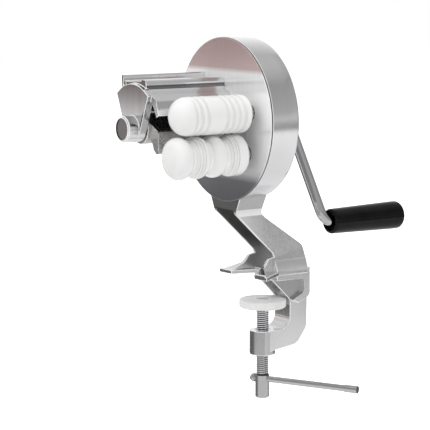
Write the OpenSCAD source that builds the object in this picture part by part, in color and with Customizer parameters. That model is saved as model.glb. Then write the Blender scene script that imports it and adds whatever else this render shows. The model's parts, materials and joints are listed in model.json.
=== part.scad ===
/* [Drum] */
// Radius of the round face and of the drum's front rim
disc_r = 59.5; // [58:0.5:61]
// Depth of the drum from the face to the back
drum_depth = 25.7; // [25:0.1:27]
// Outer radius of the drum at its back
drum_back_r = 58.2; // [56:0.1:59]
// Rounding of the drum's rear edge
drum_edge_r = 2; // [1:0.25:4]
// Wall thickness of the cast drum
drum_wall = 3.4; // [3:0.1:3.6]
// Thickness of the face plate's visible edge
plate_rim = 1.6; // [1.2:0.1:2]
// Full thickness of the face plate with its spigot
plate_t = 4; // [3.6:0.1:4.4]
// Bright chamfer on the edge of the face plate
plate_chamfer = 0.6; // [0.3:0.1:0.8]

/* [Head place] */
// Height of the face's centre above the clamp's upper jaw
disc_z = 116.8; // [115:0.2:119]
// Distance of the face in front of the clamp screw
disc_front = 35.8; // [35:0.1:37]

/* [Rollers] */
// Outer radius of the upper roller
upper_r = 13.6; // [13.2:0.1:13.8]
// Outer radius of the lower roller's beads
lower_r = 14.9; // [14.4:0.1:15.1]
// Place of the lower roller to the right of the face's centre
lower_x = 30; // [29.4:0.2:30.6]
// Place of the lower roller below the face's centre
lower_drop = 22.3; // [22:0.1:23]
// Direction from the lower roller to the upper one
pair_angle = 82.5; // [80:0.5:85]
// Gap between the rollers and the face
roller_gap = 6.4; // [6:0.1:8]
// Length of the upper roller
upper_len = 59; // [57:0.5:62]
// Length of the lower roller
lower_len = 59.1; // [58.6:0.1:60]
// Radius of the roller shafts
roller_shaft_r = 3.5; // [3.2:0.1:3.8]
// Rounding of the upper roller's free end
upper_dome_r = 11; // [8:0.5:12]
// Rounding of the rollers' ends beside the face
roller_back_r = 4; // [3:0.5:5]
// Depth of the shallow rings on the upper roller
ring_depth = 0.4; // [0.3:0.05:0.6]
// Spacing of the shallow rings on the upper roller
ring_pitch = 5; // [4.6:0.1:5.2]
// Width of a bead on the lower roller
bead_pitch = 14.1; // [13.6:0.1:14.3]
// Height of the beads on the lower roller
bead_height = 3.1; // [2.8:0.1:3.4]
// Rounding of a bead's shoulders
bead_round_r = 6.8; // [6.4:0.1:6.9]

/* [Cutter] */
// Place of the cutter's axis to the left of the face's centre
main_left = 10.7; // [10:0.1:11]
// Place of the cutter's axis below the face's centre
main_drop = 3.7; // [3:0.1:4]
// Radius of the main shaft
main_shaft_r = 5; // [4.8:0.1:5.2]
// Radius of the main shaft's journal in the arm
journal_r = 4; // [3.6:0.1:4.2]
// Radius of the cutter's hub
hub_r = 11.3; // [11:0.1:11.6]
// Radius that the blade tips sweep
blade_r = 27.2; // [26.6:0.1:27.4]
// Wall of the hood between its hollow and its crown
hood_wall = 3.9; // [3.5:0.1:4.4]
// Half of the angle that the arm's fan covers
arm_half_angle = 41; // [38:0.5:43]
// Thickness of the arm's fan
arm_t = 5.8; // [5.2:0.1:6.2]
// Distance from the face to the front of the arm
arm_reach = 70.4; // [69.5:0.1:71.5]
// Radius of the bearing boss on the arm
boss_r = 9.3; // [9:0.1:9.5]
// Length of the bearing boss in front of the arm
boss_len = 8.8; // [8:0.2:9.6]

/* [Gears] */
// Module of all gears
gear_module = 1.35; // [1.34:0.01:1.36]
// Teeth on the pinions
pinion_teeth = 12; // [12:1:12]
// Teeth on the intermediate wheel
wheel_teeth = 24; // [24:1:24]
// Teeth on each roller gear
roller_teeth = 22; // [22:1:22]
// Pressure angle of the teeth
tooth_angle = 25; // [24:0.5:25]
// Face width of the gears
gear_w = 6; // [5.6:0.1:6.1]

/* [Leg and clamp] */
// Width of the leg
leg_w = 26.5; // [25:0.5:27]
// Width of the clamp frame's spine
spine_w = 19.6; // [19:0.2:21]
// Depth of the clamp frame's back behind the screw
spine_back = 34; // [33.5:0.1:35]
// Throat from the screw to the inside of the spine
throat = 18.2; // [18:0.1:19]
// Thickness of the jaw plate
jaw_t = 4.2; // [3.8:0.1:4.6]
// Reach of the jaw's fingers in front of the screw
finger_reach = 19.5; // [18:0.5:21]
// Half of the width across both finger tips
finger_spread = 27; // [25:0.5:28]
// Width of one finger at its tip
finger_w = 14; // [12:0.5:15]
// Thickness of a finger at its tip
finger_t = 3; // [2.6:0.1:3.4]
// Height of the lower boss
nut_h = 18.4; // [17:0.2:19]
// Depth of the lower boss's underside below the jaw
nut_bottom = 60.4; // [60:0.1:61]
// Wall of the channel in the leg
flange_t = 2.2; // [1.8:0.1:2.6]

/* [Clamp screw] */
// Radius of the clamp screw over its thread
screw_r = 4.9; // [4.6:0.1:5]
// Rise of the screw in one turn
screw_pitch = 1.5; // [1.25:0.25:2]
// Radius of the swivel pad
pad_r = 17.6; // [16.8:0.1:17.6]
// Thickness of the swivel pad
pad_t = 6.2; // [5.8:0.1:7]
// Opening between jaw and pad as photographed
clamp_open = 18.8; // [18.6:0.1:24]
// Radius of the screw's head
head_r = 5.3; // [5.1:0.1:5.6]
// Length of the screw's head
head_len = 22.7; // [21:0.1:24]
// Depth of the head's lower end below the jaw
screw_bottom = 93.7; // [92:0.1:95]
// Radius of the tommy bar
bar_r = 2.4; // [2.2:0.1:2.5]
// Length of the tommy bar
bar_len = 84.4; // [80:0.1:90]
// Turn of the tommy bar away from the side
bar_angle = 28; // [0:0.5:40]

/* [Crank] */
// Radius of the crank's circle
crank_r = 85.5; // [80:0.5:88]
// Angle of the crank from straight down
crank_angle = 32.3; // [30:0.1:36]
// Distance from the face to the crank's arm
crank_back = 66; // [65:0.5:70]
// Radius of the crank's rod
rod_r = 3.95; // [3.4:0.05:4]
// Radius of the rod's bends
bend_r = 8; // [6:0.5:9]
// Length of the handle
handle_len = 65; // [60:0.5:70]
// Radius of the handle beside the crank's arm
handle_r1 = 9.2; // [8.8:0.1:9.6]
// Radius of the handle at its thick end
handle_r2 = 10.4; // [9.8:0.1:11]

/* [Hidden] */
$fn = 64;
over = 1;
run_fit = 0.04;
blend_share = 0.001;
slack = 0.4;

// Places on the drive side
main_x = -main_left;
main_z = -main_drop;
lower_z = -lower_drop;
pair_gap = gear_module * roller_teeth;
upper_x = lower_x + pair_gap * cos(pair_angle);
upper_z = lower_z + pair_gap * sin(pair_angle);
first_gap = gear_module * (pinion_teeth + wheel_teeth) / 2;
second_gap = gear_module * (pinion_teeth + roller_teeth) / 2;
to_lower = norm([lower_x - main_x, lower_z - main_z]);
to_lower_angle = atan2(lower_z - main_z, lower_x - main_x);
idle_angle = to_lower_angle
  - acos((first_gap * first_gap + to_lower * to_lower - second_gap * second_gap)
    / (2 * first_gap * to_lower));
idle_x = main_x + first_gap * cos(idle_angle);
idle_z = main_z + first_gap * sin(idle_angle);
idle_to_lower_angle = atan2(lower_z - idle_z, lower_x - idle_x);

// Gear layers inside the drum
layer_gap = 1;
front_layer = plate_t + layer_gap;
back_layer = front_layer + gear_w + layer_gap + slack;
back_wall = drum_depth - drum_wall;
wheel_back = back_layer + gear_w;
inner_boss = wheel_back + slack + slack;
tooth_slack = 0.12;
flank_steps = 3;
root_share = 1.25;
spigot_share = 1.5;

// Drum and face plate
drum_inner_r = disc_r - drum_wall;
drum_inner_back_r = drum_back_r - drum_wall;
spigot_fit = 0.05;
post_r = 3.6;
post_ring_r = 49;
post_count = 3;
post_first = 50;
post_screw_r = 1.7;
post_screw_len = 9;
post_head_r = 3.4;
post_head_t = 2;
rear_boss_r = 13;
rear_boss_tip_r = 11;
rear_boss_len = 12;
rear_face = drum_depth + rear_boss_len;

// Bushes and pins
bush_wall = 2.6;
bush_flange_t = 1;
bush_flange_wall = 2;
thrust_gap = 0.4;
idle_pin_r = 3;
idle_boss_r = 7;
roller_boss_r = 8;
roller_bush_wall = 2;
roller_bush_depth = 4.6;
roller_bush_over = 0.6;
shaft_seat = 50;
clip_t = 0.8;
clip_r = 5.2;
collar_r = 8;

// Hood and arm
hood_fit = 0.6;
hood_inner_r = blade_r + hood_fit;
arm_r = hood_inner_r + hood_wall;
feed_gap = 1.2;
hood_setback = 3.4;
hood_reach = arm_reach - hood_setback;
arm_back = arm_reach - arm_t;
boss_front = arm_reach + boss_len;
boss_chamfer = 1;
arm_round_r = 9.7;
fan_share = 1.3;
cap_r = 7.7;
cap_t = 2;
arm_bush_r = 6.4;
hood_shares = [
  [-0.498, 0.620], [-0.498, 1.040], [0.030, 1.020],
  [0.200, 1.060], [0.255, 1.098], [0.375, 1.085], [0.416, 1.010], [0.416, 0.893],
  [0.470, 0.835], [0.610, 0.780], [0.808, 0.678], [0.927, 0.341], [0.800, 0.285]
];
hood_round_shares = [0, 0, -0.300, 0, 0.100, 0.060, 0, -0.040, 0, 0.080, 0.150, 0, 0];
fin_shares = [[-0.498, 0.900], [-0.498, 1.175], [-0.429, 1.165], [-0.429, 0.900]];
fin_round_shares = [0, 0.030, 0.030, 0];
fin_setback = 1.2;
hood_screw_angles = [78, 95, 112];
hood_screw_shares = [0.965, 0.975, 1.0];
hood_screw_r = 1.5;
hood_screw_len = 12;
hood_head_r = 2.8;
hood_head_t = 1.8;

// Cutter
hub_front = arm_back - thrust_gap;
hub_back = bush_flange_t + thrust_gap;
blade_inset = 1.4;
blade_shares = [
  [0.20, 0.25], [0.42, 0.15], [0.80, -0.045], [0.825, -0.70], [0.60, -0.53], [0.52, -0.33], [0.36, -0.22]
];
blade_round_shares = [0, 0, 0.05, 0.07, 0.02, -0.08, 0];
rotor_pin_r = 1.5;
rotor_pin_share = 0.5;

// Leg, jaw and clamp frame, in shares of the leg's rise
leg_rise = disc_z - disc_r;
leg_depth = 67.5;
leg_front_bend = 8;
spine_inner = throat;
nut_top = nut_bottom - nut_h;
nut_r = spine_w / 2;
arm_lower_t = 15.4;
spine_foot_r = 9;
spine_inside_r = 9;
gusset_w = 27;
gusset_front = 3.4;
gusset_drop = 20;
rib_front = 1;
web_depth = 4.6;
rim_t = 5.4;
lower_arm_share = 0.8;
notch_w = 12;
notch_root = 2;
thread_fit = 0.06;

// Clamp screw
pad_chamfer = 1;
pad_pin_r = 3;
pad_pin_len = 4;
pad_bore_fit = 0.05;
pad_gap = 0.1;
pad_screw_r = 1.5;
pad_screw_head_r = 4;
pad_screw_head_t = 1.6;
pad_recess = 0.6;
head_top = screw_bottom - head_len;
bar_drop = 8.5;
ball_r = 3.3;
ball_out = 1.5;
bar_end_len = 10;
bar_end_r = 2.8;
bar_fit = 0.06;
head_chamfer = 0.8;

// Crank
hub_gap = 0.6;
crank_hub_r = 8;
crank_hub_len = 16;
crank_seat = 8;
set_screw_r = 2;
handle_lap = 3.2;
mouth_r = 7.2;
mouth_len = 4;
grip_fit = 0.08;
grip_chamfer = 1.2;
grip_bore_r = 6;
cap_len = 8;
cap_plug_len = 3;
grip_nut_r = 5;
grip_nut_t = 4;
axial_slack = 0.5;

// Frame of the face: its centre, with Y running back into the drum
module head() translate([0, -disc_front, disc_z]) children();
module at_main() head() translate([main_x, 0, main_z]) children();
module at_idle() head() translate([idle_x, 0, idle_z]) children();
module at_lower() head() translate([lower_x, 0, lower_z]) children();
module at_upper() head() translate([upper_x, 0, upper_z]) children();

// A turned shape whose profile is drawn as radius and place along Y
module turned() rotate([-90, 0, 0]) rotate_extrude() children();

// An outline in X and Z, carried along Y from y1 to y2
module plate_y(y1, y2) translate([0, y2, 0]) rotate([90, 0, 0]) linear_extrude(y2 - y1) children();

// An outline in Y and Z, w wide in X and centred
module plate_x(w) translate([-w / 2, 0, 0]) rotate([90, 0, 90]) linear_extrude(w) children();

// A round bar along Y from y1 to y2
module rod_y(r, y1, y2) translate([0, y1, 0]) rotate([-90, 0, 0]) cylinder(r = r, h = y2 - y1);

function unit(v) = v / norm(v);

// The sliver between a corner and its arc, or the filler of an inner corner.
// The arc is a trace wide of tangent, so that it crosses both edges cleanly.
module corner_piece(a, b, c, r, reach) {
  u = unit(a - b);
  v = unit(c - b);
  half = acos(u * v) / 2;
  out = unit(u + v);
  difference() {
    polygon([b - out * reach, b + u * r / tan(half), b + v * r / tan(half)]);
    translate(b + out * r / sin(half)) circle(r * (1 + blend_share));
  }
}

// A polygon with arcs at its corners: radii above 0 round outer corners, below 0 inner ones
module rounded(pts, radii) {
  n = len(pts);
  difference() {
    union() {
      polygon(pts);
      for (i = [0 : n - 1])
        if (radii[i] < 0)
          corner_piece(pts[(i + n - 1) % n], pts[i], pts[(i + 1) % n], -radii[i], -radii[i] / 4);
    }
    for (i = [0 : n - 1])
      if (radii[i] > 0)
        corner_piece(pts[(i + n - 1) % n], pts[i], pts[(i + 1) % n], radii[i], radii[i] / 4);
  }
}

// Involute gear outline with one tooth centred at phase
function involute(a) = tan(a) * 180 / PI - a;
function flank(n, r) =
  90 / n + involute(tooth_angle) - tooth_slack / (gear_module * n) * 180 / PI
  - involute(acos(gear_module * n / 2 * cos(tooth_angle) / r));
function polar(r, a) = [r * cos(a), r * sin(a)];
module gear_outline(n, phase) {
  pitch_r = gear_module * n / 2;
  base_r = pitch_r * cos(tooth_angle);
  tip_r = pitch_r + gear_module;
  root_r = pitch_r - gear_module * root_share;
  low_r = max(base_r, root_r);
  radii = [for (i = [0 : flank_steps]) low_r + (tip_r - low_r) * i / flank_steps];
  polygon([
    for (t = [0 : n - 1])
      let (c = phase + t * 360 / n)
      each concat(
        [polar(root_r, c - flank(n, low_r))],
        [for (i = [0 : flank_steps]) polar(radii[i], c - flank(n, radii[i]))],
        [for (i = [flank_steps : -1 : 0]) polar(radii[i], c + flank(n, radii[i]))],
        [polar(root_r, c + flank(n, low_r))]
      )
  ]);
}

// Phase of a gear that meshes with a neighbour in the direction of mesh_angle
function mesh_phase(n1, phase1, n2, mesh_angle) =
  mesh_angle + 180 + 360 / n2 * ((mesh_angle - phase1) / (360 / n1) + 0.5);
main_phase = 90;
wheel_phase = mesh_phase(pinion_teeth, main_phase, wheel_teeth, idle_angle);
idle_phase = wheel_phase;
lower_phase = mesh_phase(pinion_teeth, idle_phase, roller_teeth, idle_to_lower_angle);
upper_phase = mesh_phase(roller_teeth, lower_phase, roller_teeth, pair_angle);

module at_posts() {
  for (i = [0 : post_count - 1])
    rotate([0, -post_first - i * 360 / post_count, 0])
      translate([post_ring_r, 0, 0]) children();
}

// Drum, neck, leg, jaw and clamp frame: one casting
drum_out = [[0, plate_rim], [disc_r, plate_rim], [drum_back_r, drum_depth], [0, drum_depth]];
drum_in = [
  [0, -over], [drum_inner_r, -over], [drum_inner_r, front_layer], [drum_inner_back_r, back_wall], [0, back_wall]
];
module drum_solid() turned() rounded(drum_out, [0, 0, drum_edge_r, 0]);
module drum_bosses() {
  translate([main_x, 0, main_z])
    turned() polygon([
      [0, inner_boss], [rear_boss_r, inner_boss], [rear_boss_r, drum_depth],
      [rear_boss_tip_r, rear_face], [0, rear_face]
    ]);
  translate([upper_x, 0, upper_z]) rod_y(roller_boss_r, inner_boss, drum_depth - slack);
  translate([lower_x, 0, lower_z]) rod_y(roller_boss_r, inner_boss, drum_depth - slack);
  translate([idle_x, 0, idle_z]) rod_y(idle_boss_r, inner_boss, drum_depth - slack);
}

// Side outline of neck and leg, in Y from the screw and Z from the jaw
neck_z = leg_rise - leg_front_bend;
leg_front_y = -disc_front;
leg_back_y = leg_front_y + drum_depth;
leg_foot_y = leg_front_y + leg_depth;
leg_knee_rise_share = 0.32;
leg_heel_rise_share = 0.375;
leg_knee_z = leg_rise * leg_knee_rise_share;
leg_front_share = 0.88;
leg_back_share = 0.5;
leg_knee_share = 0.54;
leg_knee_y = leg_front_y + leg_depth * leg_knee_share;
leg_heel_share = 0.93;
leg_heel_y = leg_front_y + leg_depth * leg_heel_share;
module leg_side() {
  rounded([
    [leg_front_y + plate_rim, neck_top_z + flange_t],
    [leg_front_y + plate_rim, neck_z],
    [leg_knee_y, leg_knee_z * leg_front_share],
    [leg_knee_y + jaw_t / 2, 0],
    [leg_foot_y - flange_t / 2, 0],
    [leg_foot_y - flange_t / 2, leg_knee_z * leg_back_share],
    [leg_heel_y, leg_rise * leg_heel_rise_share],
    [leg_back_y - flange_t / 2, neck_z - flange_t],
    [leg_back_y - flange_t / 3, neck_top_z + flange_t]
  ], [0, leg_front_bend / 2, -leg_front_bend, 0, 0, 0, leg_front_bend, -leg_front_bend, 0]);
}

// Front outline of leg and neck, which flares into the drum with concave sides
neck_flare = 8;
neck_curve_r = 14;
neck_w = leg_w + neck_flare * 2;
neck_top_z = disc_z - sqrt(drum_back_r * drum_back_r - neck_w * neck_w / 4) + flange_t;
foot_flare = 2;
foot_rise = 7;
foot_w = leg_w + foot_flare * 2;
foot_curve_r = 5;
module leg_front() {
  rounded([
    [-foot_w / 2, 0], [foot_w / 2, 0], [foot_w / 2, jaw_t], [leg_w / 2, jaw_t + foot_rise],
    [leg_w / 2, neck_z], [neck_w / 2, neck_top_z], [neck_w / 2, neck_top_z + flange_t],
    [-neck_w / 2, neck_top_z + flange_t], [-neck_w / 2, neck_top_z], [-leg_w / 2, neck_z],
    [-leg_w / 2, jaw_t + foot_rise], [-foot_w / 2, jaw_t]
  ], [0, 0, 0, -foot_curve_r, -neck_curve_r, 0, 0, 0, 0, -neck_curve_r, -foot_curve_r, 0]);
}
module leg() {
  intersection() {
    plate_x(neck_w) leg_side();
    plate_y(leg_front_y, leg_foot_y + leg_w) leg_front();
  }
}

// The jaw seen from above, with its two fingers
jaw_back = spine_back - flange_t;
jaw_angle = 5;
tip_out = [finger_spread, -finger_reach];
tip_in = [finger_spread - finger_w, -finger_reach];
function across(p) = [-p[0], p[1]];
function turn(p) = [p[0] * cos(jaw_angle) - p[1] * sin(jaw_angle), p[0] * sin(jaw_angle) + p[1] * cos(jaw_angle)];
module jaw_plan() {
  polygon([
    [-gusset_w / 2, jaw_back], [-foot_w / 2, gusset_front], turn(across(tip_out)), turn(across(tip_in)),
    [-notch_w / 2, -notch_root], [notch_w / 2, -notch_root], turn(tip_in), turn(tip_out),
    [foot_w / 2, gusset_front], [gusset_w / 2, jaw_back]
  ]);
}

// The webs on the fingers, seen from above and from the side: they run up to the leg's flanges
web_shares = [[0.56, 0.42], [0.78, 0.88]];
web_rise = 12;
web_curve_r = 8;
web_root_w = flange_t * 1.3;
web_waist = [leg_w / 2 + foot_flare, -finger_reach / 2];
module web_plan(side) {
  polygon([
    turn([side * tip_out[0], tip_out[1]]), [side * web_waist[0], web_waist[1]], [side * leg_w / 2, -foot_flare],
    [side * leg_w / 2, gusset_front], [side * (leg_w / 2 - web_root_w), gusset_front],
    [side * (leg_w / 2 - web_root_w), -foot_flare], turn([side * tip_in[0], tip_in[1]])
  ]);
}
module web_side() {
  rounded([
    [-finger_spread, 0], [-finger_spread, finger_t], [-finger_reach, finger_t],
    [-finger_reach * (1 - web_shares[0][0]), finger_t + web_rise * web_shares[0][1]],
    [-finger_reach * (1 - web_shares[1][0]), finger_t + web_rise * web_shares[1][1]],
    [gusset_front, finger_t + web_rise], [gusset_front, 0]
  ], [0, 0, 0, -web_curve_r, 0, 0, 0]);
}

// Side outline of the spine and of the arm that carries the screw
module frame_side() {
  rounded([
    [-rib_front, 0], [-rib_front, -rib_front],
    [spine_inner, -gusset_drop],
    [spine_inner, -nut_top],
    [0, -nut_top],
    [0, -nut_top - arm_lower_t],
    [spine_back - spine_foot_r, -nut_top - arm_lower_t * lower_arm_share],
    [spine_back, -nut_top],
    [spine_back, jaw_t],
    [-rib_front, jaw_t]
  ], [0, 0, 0, -spine_inside_r, 0, 0, spine_foot_r, spine_foot_r, 0, 0]);
}

// Hollow between the two ribs under the jaw
module rib_hollow_side() {
  polygon([
    [-gusset_front - over, -jaw_t], [gusset_front + web_depth, -jaw_t],
    [spine_inner, -gusset_drop + web_depth], [spine_inner, -gusset_drop - over], [-gusset_front - over, -gusset_drop - over]
  ]);
}

// Rim round the side pocket: it follows the jaw, the back and the pocket's floor
module rim_side() {
  rounded([
    [gusset_front, jaw_t / 2], [gusset_front, -jaw_t],
    [spine_back - rim_t, -jaw_t], [spine_back - rim_t, -gusset_drop + rim_t],
    [spine_inner, -gusset_drop], [spine_inner + rim_t, -gusset_drop - rim_t / 2],
    [spine_back, -gusset_drop + rim_t / 2], [spine_back, jaw_t]
  ], [0, 0, -rim_t / 2, -rim_t, 0, 0, rim_t, 0]);
}
module channel_side() {
  polygon([
    [leg_front_y - over, neck_z + flange_t], [leg_front_y - over, neck_z - flange_t],
    [leg_knee_y - flange_t, leg_knee_z * leg_front_share], [-finger_reach, jaw_t],
    [leg_knee_y + leg_w / 2, jaw_t], [leg_knee_y + leg_w / 2, leg_knee_z],
    [leg_back_y - flange_t * 3, neck_z + flange_t]
  ]);
}

// Holes and hollows of the casting
module casting_cuts() {
  head() {
    turned() rounded(drum_in, [0, 0, 0, drum_edge_r / 2, 0]);
    translate([main_x, 0, main_z]) rod_y(main_shaft_r + bush_wall, inner_boss, rear_face + over);
    at_posts() rod_y(post_screw_r, back_wall - over, drum_depth + over);
  }
  at_upper() rod_y(roller_shaft_r + roller_bush_wall, inner_boss - over, drum_depth - bush_flange_t);
  at_lower() rod_y(roller_shaft_r + roller_bush_wall, inner_boss - over, drum_depth - bush_flange_t);
  at_idle() rod_y(idle_pin_r, inner_boss - over, drum_depth + over);
  plate_x(leg_w - flange_t * 2) channel_side();
  plate_x(spine_w - flange_t * 2) rib_hollow_side();
  translate([0, 0, -nut_bottom - over]) cylinder(r = screw_r + thread_fit, h = nut_h + over * 2);
  translate([0, 0, -nut_bottom]) rotate_extrude() polygon([
    [0, -over], [screw_r + screw_pitch + over, -over], [screw_r, screw_pitch], [0, screw_pitch]
  ]);
  translate([0, 0, -nut_top]) rotate_extrude() polygon([
    [0, -screw_pitch], [screw_r, -screw_pitch], [screw_r + screw_pitch + over, over], [0, over]
  ]);
}
module body_casting() {
  color("silver") difference() {
    union() {
      difference() {
        head() drum_solid();
        head() turned() rounded(drum_in, [0, 0, 0, drum_edge_r / 2, 0]);
      }
      head() drum_bosses();
      leg();
      linear_extrude(finger_t) jaw_plan();
      intersection() {
        linear_extrude(web_rise * 2) for (side = [-1, 1]) web_plan(side);
        plate_x(finger_spread * 2) web_side();
      }
      plate_x(spine_w) frame_side();
      plate_x(gusset_w) rim_side();
      translate([0, 0, -nut_bottom]) cylinder(r = nut_r, h = nut_h);
    }
    casting_cuts();
  }
}

// Brushed face plate, whose three posts take the screws from behind
face_out = [
  [0, 0], [disc_r - plate_chamfer, 0], [disc_r, plate_chamfer], [disc_r, plate_rim],
  [drum_inner_r - spigot_fit, plate_rim], [drum_inner_r - spigot_fit, plate_t], [0, plate_t]
];
module face_plate() {
  color("gainsboro") difference() {
    head() {
      turned() polygon(face_out);
      at_posts() rod_y(post_r, plate_t - over, back_wall);
    }
    head() at_posts() rod_y(post_screw_r, drum_depth - post_screw_len, drum_depth);
    at_main() rod_y(main_shaft_r + bush_wall, -over, plate_t + over);
    at_upper() rod_y(roller_shaft_r + roller_bush_wall, -over, plate_t + over);
    at_lower() rod_y(roller_shaft_r + roller_bush_wall, -over, plate_t + over);
    at_idle() rod_y(idle_pin_r, plate_t / 2, plate_t + over);
    at_hood_screws() rod_y(hood_screw_r, -over, plate_t + over);
  }
}
module plate_screws() {
  color("gray") head() at_posts() {
    rod_y(post_screw_r, drum_depth - post_screw_len, drum_depth);
    difference() {
      rod_y(post_head_r, drum_depth, drum_depth + post_head_t);
      rod_y(post_screw_r, drum_depth + post_head_t / 2, drum_depth + post_head_t + over);
    }
  }
}

// Hood over the cutter and the arm that carries the outboard bearing: one casting
module at_hood_screws() {
  for (i = [0 : len(hood_screw_angles) - 1])
    at_main()
      rotate([0, -hood_screw_angles[i], 0])
        translate([arm_r * hood_screw_shares[i], 0, 0]) children();
}
arm_tangent = arm_half_angle + acos(arm_round_r / arm_r);
arm_corner = arm_r * [sin(arm_half_angle), cos(arm_half_angle)];
arm_foot = arm_round_r * (1 - blend_share) * [sin(arm_tangent), cos(arm_tangent)];
arm_side = arm_foot + (arm_corner - arm_foot) * fan_share;
module arm_outline() {
  circle(arm_round_r);
  intersection() {
    circle(arm_r);
    polygon([arm_foot, arm_side, [-arm_side[0], arm_side[1]], [-arm_foot[0], arm_foot[1]]]);
  }
}
module hood_outline() {
  difference() {
    rounded(hood_shares * arm_r, hood_round_shares * arm_r);
    circle(hood_inner_r);
    translate([upper_x - main_x, upper_z - main_z]) circle(upper_r + feed_gap);
    translate([lower_x - main_x, lower_z - main_z]) circle(lower_r + feed_gap);
  }
}
module cutter_hood() {
  color("lightgray") difference() {
    at_main() {
      plate_y(-hood_reach, 0) hood_outline();
      plate_y(fin_setback - arm_reach, 0) rounded(fin_shares * arm_r, fin_round_shares * arm_r);
      plate_y(-arm_reach, -arm_back) arm_outline();
      turned() polygon([
        [0, -arm_back], [boss_r, -arm_back], [boss_r, -boss_front + boss_chamfer],
        [boss_r - boss_chamfer, -boss_front], [0, -boss_front]
      ]);
    }
    at_main() rod_y(arm_bush_r, -boss_front + cap_t - over, -arm_back + over);
    at_main() rod_y(cap_r, -boss_front - over, -boss_front + cap_t);
    at_hood_screws() rod_y(hood_screw_r, -hood_screw_len, over);
  }
}
module hood_screws() {
  color("gray") at_hood_screws() {
    rod_y(hood_screw_r, -hood_screw_len, plate_t);
    rod_y(hood_head_r, plate_t, plate_t + hood_head_t);
  }
}
module arm_bush() {
  color("peru") at_main() difference() {
    rod_y(arm_bush_r, -boss_front + cap_t, -arm_back);
    rod_y(journal_r + run_fit, -boss_front, -arm_back + over);
  }
}
module arm_cap() {
  color("dimgray") at_main() rod_y(cap_r, -boss_front + plate_chamfer, -boss_front + cap_t);
}

// A bush along Y with its flange at y1, towards negative Y
module bush(bore_r, wall, y1, y2) {
  difference() {
    union() {
      rod_y(bore_r + wall, y1, y2);
      rod_y(bore_r + wall + bush_flange_wall, y1 - bush_flange_t, y1);
    }
    rod_y(bore_r + run_fit, y1 - bush_flange_t - over, y2 + over);
  }
}
module front_bush() {
  color("peru") at_main() bush(main_shaft_r, bush_wall, 0, plate_t);
}
module rear_bush() {
  color("peru") at_main() translate([0, rear_face, 0]) mirror([0, 1, 0])
    bush(main_shaft_r, bush_wall, 0, rear_face - inner_boss);
}
module roller_front_bushes() {
  color("ivory") {
    at_upper() bush(roller_shaft_r, roller_bush_wall, 0, plate_t + roller_bush_over);
    at_lower() bush(roller_shaft_r, roller_bush_wall, 0, plate_t + roller_bush_over);
  }
}
module rear_roller_bush() {
  difference() {
    rod_y(roller_shaft_r + roller_bush_wall, inner_boss, drum_depth - bush_flange_t);
    rod_y(roller_shaft_r + run_fit, inner_boss - over, inner_boss + roller_bush_depth);
  }
}
module roller_rear_bushes() {
  color("ivory") {
    at_upper() rear_roller_bush();
    at_lower() rear_roller_bush();
  }
}
module intermediate_pin() {
  color("slategray") at_idle() rod_y(idle_pin_r, plate_t / 2, drum_depth);
}

// Main shaft with a thinner journal in the arm
module main_shaft() {
  color("slategray") difference() {
    at_main() {
      rod_y(journal_r, -boss_front + cap_t + axial_slack, -hub_front + over);
      rod_y(main_shaft_r, -hub_front, rear_face + bush_flange_t + hub_gap + crank_seat);
    }
    rotor_pin_hole();
  }
}
module rotor_pin_place() {
  translate([0, -hub_front * rotor_pin_share, 0]) rotate([0, rotor_pin_turn, 0]) children();
}
rotor_pin_turn = 60;
module rotor_pin_hole() {
  at_main() rotor_pin_place()
    translate([0, 0, -hub_r - over]) cylinder(r = rotor_pin_r, h = (hub_r + over) * 2);
}
module cutter_rotor() {
  color("darkgray") difference() {
    at_main() {
      rod_y(hub_r, -hub_front, -hub_back);
      intersection() {
        plate_y(-hub_front + blade_inset, -hub_back - blade_inset)
          for (side = [0, 180]) rotate(side) rounded(blade_shares * blade_r, blade_round_shares * blade_r);
        rod_y(blade_r, -hub_front, -hub_back);
      }
    }
    at_main() rod_y(main_shaft_r, -hub_front - over, 0);
    rotor_pin_hole();
  }
}
module rotor_pin() {
  color("gray") at_main() rotor_pin_place()
    translate([0, 0, -hub_r + axial_slack]) cylinder(r = rotor_pin_r, h = (hub_r - axial_slack) * 2);
}
module main_pinion() {
  color("slategray") at_main() difference() {
    plate_y(back_layer, wheel_back) gear_outline(pinion_teeth, main_phase);
    rod_y(main_shaft_r, back_layer - over, wheel_back + over);
  }
}
module shaft_collar() {
  color("gray") at_main() difference() {
    rod_y(collar_r, plate_t + thrust_gap, front_layer + gear_w);
    rod_y(main_shaft_r, plate_t, back_layer);
  }
}

// Crank: coupling hub, set screws, bent rod and turning handle
hub_start = rear_face + bush_flange_t + hub_gap;
hub_end = hub_start + crank_hub_len;
module crank_hub() {
  color("gray") at_main() difference() {
    rod_y(crank_hub_r, hub_start, hub_end);
    rod_y(main_shaft_r, hub_start - over, hub_start + crank_seat);
    rod_y(rod_r, hub_start, hub_end + over);
    crank_screw_shapes();
  }
}
module crank_screw_shapes() {
  for (y = [hub_start + crank_seat / 2, hub_end - (crank_hub_len - crank_seat) / 2])
    translate([0, y, y < hub_start + crank_seat ? main_shaft_r : rod_r])
      cylinder(r = set_screw_r, h = crank_hub_r);
}
module crank_screws() {
  color("dimgray") at_main() intersection() {
    crank_screw_shapes();
    rod_y(crank_hub_r - plate_chamfer, hub_start, hub_end);
  }
}
handle_start = crank_back + bend_r - handle_lap;
spindle_end = handle_start + handle_len - cap_len - cap_plug_len - axial_slack;
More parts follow.
